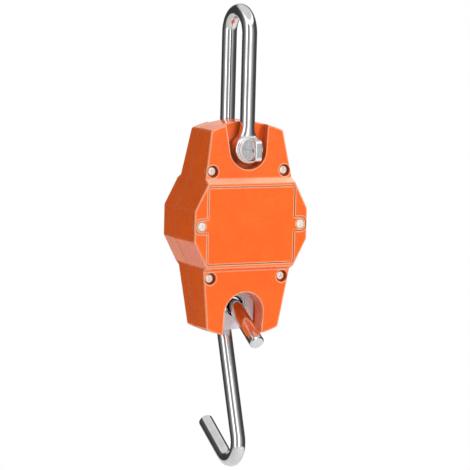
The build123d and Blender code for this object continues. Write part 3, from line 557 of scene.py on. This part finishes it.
class FinishBatteryBay(bpy.types.Operator):
    """Colours the tray, cells and contacts, and winds the contact springs"""
    bl_idname = "crane_scale.finish_battery_bay"
    bl_label = "Finish battery bay"

    def execute(self, context):
        finish = context.scene.crane_battery
        # Spark-eroded ABS: black with an even leathery grain.
        coat_node(moulded("textured_black_abs", finish.tray, "2C2D30", 0.7, 0.04, 0.55), "battery_tray")
        coat_node(printed_sleeve(finish), "battery_cell_1", "battery_cell_2", "battery_cell_3")
        # Nickelled spring strip: bright and slightly warm.
        strip = moulded("nickelled_strip", "C9C4B8", "DAD6CC", 0.3, 0.006, 0.26, 0.1, Metallic=1.0)
        coat_node(strip, "battery_contacts")
        low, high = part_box("contact_springs")
        cells = [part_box(f"battery_cell_{number}") for number in (1, 2, 3)]
        points, faces, count = [], [], 0
        for number, (cell_low, cell_high) in enumerate(cells):
            side = 1 if number % 2 else -1
            foot_x = high.x if side > 0 else low.x
            length = (cell_low.x - foot_x) if side < 0 else (cell_high.x - foot_x)
            length -= math.copysign(0.05 * MM, length)
            coil, coil_faces = wind_spring(Vector((foot_x, (cell_low.y + cell_high.y) / 2,
                                                   (cell_low.z + cell_high.z) / 2)),
                                           length, finish.spring_wide, finish.spring_narrow,
                                           finish.spring_wire, finish.spring_turns)
            points.append(coil)
            faces.append(coil_faces + count)
            count += len(coil)
        spring = add_piece("contact_coils", np.concatenate(points), np.concatenate(faces), strip,
                           "case", "contact_nickel")
        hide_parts("contact_springs")
        return {"FINISHED"}


def wind_spring(foot, length, wide, narrow, wire, turns):
    """A conical coil along X: a circle of the wire carried along a helix whose radius shrinks evenly.

    Point (s, a) = foot + X * (pitch * s + wire * cos a) + (radius(s) + wire * sin a) * (cos s, sin s) in YZ.
    """
    way = math.copysign(1, length)
    s = np.linspace(0, 2 * math.pi * turns, 28 * turns + 1)[:, None]
    a = np.linspace(0, 2 * math.pi, 10, endpoint=False)[None, :]
    half = wire / 2
    part = s / s.max()
    radius = wide - half + (narrow - wide) * part + half * np.sin(a)
    x = foot.x + way * (half + (abs(length) - 2 * half) * part + half * np.cos(a))
    y = foot.y + radius * np.cos(s)
    z = foot.z + way * radius * np.sin(s)
    points = np.stack([x, y, z], axis=-1).reshape(-1, 3)
    faces = grid_faces(len(s), 10, wrap_columns=True)
    first = np.arange(10)[::-1][None, :]
    last = (len(s) - 1) * 10 + np.arange(10)[None, :]
    ends = np.concatenate([first, last])
    caps = np.concatenate([ends[:, [0, 1, 2, 3]], ends[:, [0, 3, 4, 9]], ends[:, [4, 5, 8, 9]],
                           ends[:, [5, 6, 7, 8]]])
    return points, np.concatenate([faces, caps])


def slab(outline, thickness, origin):
    """A flat plate: a closed outline in XZ, clockwise seen from -Y, carried along +Y by thickness.

    Fans to its middle close both ends.
    """
    outline = np.asarray(outline, float)
    n = len(outline)
    middle = outline.mean(axis=0)
    rings = [np.column_stack([outline[:, 0], np.full(n, y), outline[:, 1]]) for y in (0.0, thickness)]
    centres = np.array([[middle[0], 0.0, middle[1]], [middle[0], thickness, middle[1]]])
    points = np.concatenate([*rings, centres]) + np.asarray(origin)
    i = np.arange(n)
    j = (i + 1) % n
    sides = np.stack([i, j, n + j, n + i], axis=1)
    front = np.stack([np.full(n, 2 * n + 1), n + i, n + j], axis=1)
    back = np.stack([np.full(n, 2 * n), j, i], axis=1)
    return points, [tuple(f) for f in sides] + [tuple(f) for f in back] + [tuple(f) for f in front]


def join_slabs(slabs):
    """Several meshes as one list of points and faces."""
    points, faces, count = [], [], 0
    for part_points, part_faces in slabs:
        points.append(part_points)
        faces += [tuple(index + count for index in face) for face in part_faces]
        count += len(part_points)
    return np.concatenate(points), faces


# Sizes of a digit as shares of its height.
DIGIT_WIDTH, DIGIT_PITCH, SEGMENT_BAR = 0.5, 0.72, 0.12
SEGMENT_GAP = 0.08
SLANT = 0.08


def nought_segments(height):
    """The six lit segments of a nought: pointed bars with a slight slant, from its lower left corner."""
    width, bar = height * DIGIT_WIDTH, height * SEGMENT_BAR
    upper, middle, lower = height - bar / 2, height / 2, bar / 2
    places = (((bar, upper), (width - bar, upper)),
              ((width - bar / 2, middle + bar / 2), (width - bar / 2, upper)),
              ((width - bar / 2, lower), (width - bar / 2, middle - bar / 2)),
              ((bar, lower), (width - bar, lower)),
              ((bar / 2, lower), (bar / 2, middle - bar / 2)),
              ((bar / 2, middle + bar / 2), (bar / 2, upper)))
    outlines = []
    for corners in places:
        start, end = (np.array(corner) for corner in corners)
        way = (end - start) / np.linalg.norm(end - start)
        side = np.array([-way[1], way[0]]) * bar * 0.42
        start, end = start + way * bar * SEGMENT_GAP, end - way * bar * SEGMENT_GAP
        tip = way * bar * 0.42
        outline = np.array([start, start + tip - side, end - tip - side,
                            end, end - tip + side, start + tip + side])
        outline[:, 0] += outline[:, 1] * SLANT
        outlines.append(outline)
    return outlines


def round_outline(half_x, half_z, radius, steps=8):
    """A rectangle with round corners, anticlockwise seen from -Y: a quarter circle at each corner."""
    turns = np.linspace(0, math.pi / 2, steps)
    corners = ((1, 1, 0), (-1, 1, 1), (-1, -1, 2), (1, -1, 3))
    arcs = [turns + quarter * math.pi / 2 for _, _, quarter in corners]
    return np.concatenate([np.column_stack([sx * (half_x - radius) + radius * np.cos(arc),
                                            sz * (half_z - radius) + radius * np.sin(arc)])
                           for (sx, sz, _), arc in zip(corners, arcs)])


def frame_plate(outer, inner, thickness, origin):
    """A flat ring: two outlines of as many points, joined front, back and round both edges."""
    n = len(outer)
    rings = [np.column_stack([line[:, 0], np.full(n, y), line[:, 1]])
             for line, y in ((outer, 0.0), (outer, thickness), (inner, thickness), (inner, 0.0))]
    points = np.concatenate(rings) + np.asarray(origin)
    faces = grid_faces(4, n, wrap_rows=True, wrap_columns=True)
    return points, faces[:, ::-1]


class FinishDisplay(bpy.types.Operator):
    """Finishes the board, the display, its window and the keys, and adds digits and key marks"""
    bl_idname = "crane_scale.finish_display"
    bl_label = "Finish display and keys"

    def execute(self, context):
        finish = context.scene.crane_display
        coat_node(circuit_board(), "main_board")
        # Transfer-moulded epoxy: dull black with a sandy face.
        coat_node(moulded("moulded_epoxy", "18181A", "222224", 0.3, 0.012, 0.6),
                  "board_components", "key_switches")
        # Milky diffuser sheet behind the display.
        coat_node(moulded("milky_diffuser", "DCDDD6", "EDEEE8", 1.0, 0.01, 0.5), "display_backlight")
        coat_node(display_glass(finish), "display_panel")
        coat_node(clear_window(), "display_window")
        # Silicone rubber keys: satin, with edges painted paler as a highlight.
        coat_node(moulded("silicone_key_rubber", finish.key, "55585D", 0.5, 0.015, 0.5),
                  "key_power", "key_hold", "key_unit")
        # Lead insulation: extruded vinyl, smooth with a soft shine.
        coat_node(moulded("grey_vinyl", "6F7072", "7E7F81", 0.8, 0.006, 0.4), "load_cell_lead")
        coat_node(moulded("red_vinyl", "9C1F1A", "B02A22", 0.8, 0.006, 0.4), "battery_lead")
        self.add_digits(finish)
        self.add_window_border(finish)
        self.add_key_marks(finish)
        return {"FINISHED"}

    def add_digits(self, finish):
        low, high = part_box("display_panel")
        segment, tree, shader = start_material("display_segment", Roughness=0.35)
        cells = grain_noise(tree, (0.4, 0.4, 0.4))
        connect(tree, shader, Base_Color=blend_colours(tree, cells, finish.segment, "2C3128"),
                Normal=relief(tree, cells, 0.004))
        pitch = finish.digit_height * DIGIT_PITCH
        middle = (low + high) / 2
        left = pitch * finish.digit_count / 2
        slabs = []
        # The empty scale reads nought: three digits are lit, with a point after the first of them.
        for place in range(max(finish.digit_count - 3, 0), finish.digit_count):
            outlines = nought_segments(finish.digit_height)
            if place == finish.digit_count - 3:
                dot = finish.digit_height * SEGMENT_BAR / 2
                outlines.append(round_outline(dot, dot, dot * 0.9, 4) + [pitch * 0.86, dot])
            # Seen from +Y the row reads from +X to -X. The outlines are mirrored in X for that, which
            # also turns them clockwise seen from -Y, as a slab needs for its faces to point outwards.
            for outline in outlines:
                mirrored = np.column_stack([-outline[:, 0], outline[:, 1]])
                origin = (middle.x + left - place * pitch, high.y, middle.z - finish.digit_height / 2)
                slabs.append(slab(mirrored, 0.06 * MM, origin))
        add_piece("display_digits", *join_slabs(slabs), segment, "case", "panel_glass", smooth=False)

    def add_window_border(self, finish):
        low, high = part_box("display_window")
        half_x, half_z = (high.x - low.x) / 2, (high.z - low.z) / 2
        middle = (low + high) / 2
        # Screen-printed black border on the back of the lens.
        ink = moulded("screen_print_black", "101113", "17181A", 0.3, 0.004, 0.35)
        outer = round_outline(half_x - 0.1 * MM, half_z - 0.1 * MM, 2 * MM)
        inner = round_outline(half_x - finish.border, half_z - finish.border, 1 * MM)
        points, faces = frame_plate(outer, inner, 0.08 * MM, (middle.x, low.y - 0.09 * MM, middle.z))
        add_piece("window_border", points, faces, ink, "case", "window_clear", smooth=False)

    def add_key_marks(self, finish):
        ink = moulded("marking_ink", finish.mark, "DAD8D2", 0.3, 0.006, 0.45)
        marks = {
            "key_power": [("ring", 2.0, 0.0)],
            "key_hold": [("bar", 3.6, 0.9), ("bar", 3.6, -0.9)],
            "key_unit": [("bar", 3.6, 1.5), ("bar", 2.4, 0.0), ("bar", 1.2, -1.5)],
        }
        for key, shapes in marks.items():
            low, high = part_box(key)
            middle = (low + high) / 2
            slabs = []
            for shape, size, rise in shapes:
                origin = (middle.x, high.y - 0.01 * MM, middle.z + rise * MM)
                if shape == "ring":
                    outer = round_outline(size * MM, size * MM, size * 0.999 * MM, 12)
                    points, faces = frame_plate(outer, outer * 0.74, 0.12 * MM, origin)
                    slabs.append((points, [tuple(f) for f in faces]))
                else:
                    outline = round_outline(size / 2 * MM, 0.32 * MM, 0.3 * MM, 5)
                    slabs.append(slab(outline[::-1], 0.12 * MM, origin))
            add_piece(f"{key}_mark", *join_slabs(slabs), ink, f"{key}_body", "key_rubber", smooth=False)


# ------------------------------------------------------------------ studio

# Each stop is a turn about Z in degrees, to the right from the camera's side, and a brightness.
BAND_STOPS = ((-180, 0.08), (-126, 0.05), (-100, 0.1), (-81, 0.2), (-66, 0.4), (-55, 0.9), (-47, 2.4),
              (-36, 2.6), (-29, 0.6), (-17, 0.3), (-6, 0.34), (4, 0.8), (12, 2.0), (24, 2.6), (31, 1.1),
              (41, 0.8), (53, 0.48), (67, 0.26), (81, 0.12), (97, 0.08), (130, 0.07), (180, 0.08))


def bright_bands(tree, way, studio):
    """What polished steel sees at its own height: two tall soft boxes in front and dark walls behind."""
    angle = add_node(tree, "ShaderNodeMath", links={0: way.outputs["X"], 1: way.outputs["Y"]},
                     operation="ARCTAN2").outputs[0]
    turned = add_node(tree, "ShaderNodeMath", {0: math.radians(studio.turn)}, {1: angle},
                      operation="SUBTRACT").outputs[0]
    around = add_node(tree, "ShaderNodeMath", {1: 2 * math.pi}, {0: turned}, operation="DIVIDE").outputs[0]
    around = add_node(tree, "ShaderNodeMath", links={0: around}, operation="FRACT").outputs[0]
    ramp = add_node(tree, "ShaderNodeValToRGB", links={"Fac": around})
    ramp.color_ramp.interpolation = "EASE"
    while len(ramp.color_ramp.elements) < len(BAND_STOPS):
        ramp.color_ramp.elements.new(0.5)
    for element, (turn, level) in zip(ramp.color_ramp.elements, BAND_STOPS):
        element.position = 0.5 + turn / 360
        element.color = (level, level, level, 1)
    return ramp.outputs["Color"]


def polished_view(tree, way, studio):
    """What polished metal sees in each direction: bands at its own height between a ceiling and a floor.

    Ranges of X, Y and Z are those of a direction of length 1.
    """
    # A strip of the wall behind, to the right, is pale above the bars' own height.
    right = add_node(tree, "ShaderNodeMath", {1: 0.1}, {0: way.outputs["X"]},
                     operation="GREATER_THAN").outputs[0]
    behind = add_node(tree, "ShaderNodeMath", operation="MULTIPLY",
                      links={0: span(tree, way.outputs["Y"], start=0.72, end=0.85), 1: right}).outputs[0]
    strip = add_node(tree, "ShaderNodeMath", operation="MULTIPLY",
                     links={0: behind, 1: span(tree, way.outputs["Z"], start=0.02, end=0.1)}).outputs[0]
    view = blend_colours(tree, strip, bright_bands(tree, way, studio), "F2EEE4")
    # The ceiling is brightest over the front and even straight above.
    front = span(tree, way.outputs["Y"], *studio.ceiling_levels, start=0.45, end=-0.25)
    view = blend_colours(tree, span(tree, way.outputs["Z"], start=0.5, end=0.66), view, front)
    view = blend_colours(tree, span(tree, way.outputs["Z"], start=0.7, end=0.82), view, "F0F0F0")
    # The pale sweep of the floor closes the room.
    return blend_colours(tree, span(tree, way.outputs["Z"], start=-0.28, end=-0.42), view, "F2ECDD")


class BuildStudio(bpy.types.Operator):
    """Sets the camera, the lamps, the world and a pale floor"""
    bl_idname = "crane_scale.build_studio"
    bl_label = "Build studio"

    def execute(self, context):
        studio = context.scene.crane_studio
        low, high = cad_box
        middle = (low + high) / 2
        self.add_camera(context, studio, middle)
        self.add_lamps(context, middle)
        self.set_world(context, studio)
        self.add_floor(context, studio, low.z - studio.floor_drop, middle)
        context.scene.view_settings.view_transform = "Standard"
        return {"FINISHED"}

    def add_camera(self, context, studio, middle):
        turn, rise, roll = (math.radians(v) for v in (studio.turn, studio.height, studio.roll))
        ahead = Vector((math.sin(turn) * math.cos(rise), math.cos(turn) * math.cos(rise), -math.sin(rise)))
        level = Vector((math.cos(turn), -math.sin(turn), 0))
        up = level.cross(ahead)
        right = level * math.cos(roll) + up * math.sin(roll)
        top = up * math.cos(roll) - level * math.sin(roll)
        data = bpy.data.cameras.new("studio_camera")
        data.lens = studio.lens
        data.sensor_width = 36.0
        camera = bpy.data.objects.new("studio_camera", data)
        context.scene.collection.objects.link(camera)
        place = middle + Vector(studio.aim) - ahead * studio.distance
        turn_matrix = Matrix((right, top, -ahead)).transposed().to_4x4()
        camera.matrix_world = Matrix.Translation(place) @ turn_matrix
        context.scene.camera = camera

    def add_lamps(self, context, middle):
        # Large soft boxes: name, place from the middle, size and power.
        lamps = (("key_softbox", (0.9, -1.8, 0.5), 1.4, 25), ("top_softbox", (0.8, 0.2, 1.4), 1.2, 16),
                 ("left_fill", (-1.9, -0.2, 0.2), 1.3, 2))
        for name, place, size, power in lamps:
            data = bpy.data.lights.new(name, "AREA")
            data.shape = "SQUARE"
            data.size = size
            data.energy = power
            lamp = bpy.data.objects.new(name, data)
            context.scene.collection.objects.link(lamp)
            lamp.location = middle + Vector(place)
            lamp.rotation_euler = (middle - lamp.location).to_track_quat("-Z", "Y").to_euler()
            lamp.visible_camera = False
            lamp.visible_glossy = False

    def set_world(self, context, studio):
        world = bpy.data.worlds.new("soft_studio")
        world.use_nodes = True
        context.scene.world = world
        tree = world.node_tree
        tree.nodes.clear()
        way = add_node(tree, "ShaderNodeSeparateXYZ",
                       links={"Vector": add_node(tree, "ShaderNodeTexCoord").outputs["Generated"]})
        path = add_node(tree, "ShaderNodeLightPath")
        glossy = add_node(tree, "ShaderNodeBackground", links={"Color": polished_view(tree, way, studio)})
        # Soft light that is fuller from above than from the floor.
        fullness = span(tree, way.outputs["Z"], *studio.soft_levels, start=-1.0)
        soft = add_node(tree, "ShaderNodeBackground", {"Color": (1, 1, 1, 1)}, {"Strength": fullness})
        white = add_node(tree, "ShaderNodeBackground", {"Color": (1, 1, 1, 1), "Strength": 1.0})
        lit = add_node(tree, "ShaderNodeMixShader",
                       links={0: path.outputs["Is Glossy Ray"], 1: soft.outputs[0], 2: glossy.outputs[0]})
        clear = add_node(tree, "ShaderNodeMath", links={0: path.outputs["Is Camera Ray"],
                                                        1: path.outputs["Is Transmission Ray"]},
                         operation="MAXIMUM").outputs[0]
        final = add_node(tree, "ShaderNodeMixShader",
                         links={0: clear, 1: lit.outputs[0], 2: white.outputs[0]})
        add_node(tree, "ShaderNodeOutputWorld", links={"Surface": final.outputs[0]})

    def add_floor(self, context, studio, height, middle):
        # A disc whose rim is middle + radius * (cos a, sin a).
        turns = np.linspace(0, 2 * math.pi, 96, endpoint=False)
        rim = np.column_stack([middle.x + studio.floor_radius * np.cos(turns),
                               middle.y + studio.floor_radius * np.sin(turns), np.full(turns.size, height)])
        mesh = bpy.data.meshes.new("studio_floor")
        mesh.from_pydata([tuple(p) for p in rim], [], [tuple(range(turns.size))])
        floor = bpy.data.objects.new("studio_floor", mesh)
        context.scene.collection.objects.link(floor)
        material = bpy.data.materials.new("pale_paper_floor")
        material.use_nodes = True
        tree = material.node_tree
        tree.nodes.clear()
        paper = add_node(tree, "ShaderNodeBsdfDiffuse", {"Color": linear("F2F2F2")})
        glow = add_node(tree, "ShaderNodeEmission", {"Color": (1, 1, 1, 1), "Strength": 1.02})
        path = add_node(tree, "ShaderNodeLightPath")
        share = add_node(tree, "ShaderNodeMath", {1: 0.96}, {0: path.outputs["Is Camera Ray"]},
                         operation="MULTIPLY").outputs[0]
        mix = add_node(tree, "ShaderNodeMixShader", links={0: share, 1: paper.outputs[0], 2: glow.outputs[0]})
        add_node(tree, "ShaderNodeOutputMaterial", links={"Surface": mix.outputs[0]})
        mesh.materials.append(material)


class CraneScalePanel(bpy.types.Panel):
    """Buttons for the crane scale's finishes and studio"""
    bl_idname = "VIEW3D_PT_crane_scale"
    bl_label = "Crane scale"
    bl_space_type = "VIEW_3D"
    bl_region_type = "UI"
    bl_category = "Crane scale"

    def draw(self, context):
        for operator in OPERATORS:
            self.layout.operator(operator.bl_idname)
        for name in SETTINGS:
            group = getattr(context.scene, name)
            box = self.layout.box()
            for field in group.bl_rna.properties:
                if field.identifier not in ("rna_type", "name"):
                    box.prop(group, field.identifier)


OPERATORS = (FinishCase, FinishSteel, FinishBatteryBay, FinishDisplay, BuildStudio)
SETTINGS = {"crane_case": CaseFinish, "crane_steel": SteelFinish, "crane_battery": BatteryFinish,
            "crane_display": DisplayFinish, "crane_studio": StudioSettings}


def register():
    for group in (*SETTINGS.values(), *OPERATORS, CraneScalePanel):
        bpy.utils.register_class(group)
    for name, group in SETTINGS.items():
        setattr(bpy.types.Scene, name, PointerProperty(type=group))


def unregister():
    for name in SETTINGS:
        delattr(bpy.types.Scene, name)
    for group in reversed((*SETTINGS.values(), *OPERATORS, CraneScalePanel)):
        bpy.utils.unregister_class(group)


def main():
    register()
    for operator in OPERATORS:
        folder, name = operator.bl_idname.split(".")
        getattr(getattr(bpy.ops, folder), name)()


if __name__ == "__main__":
    main()
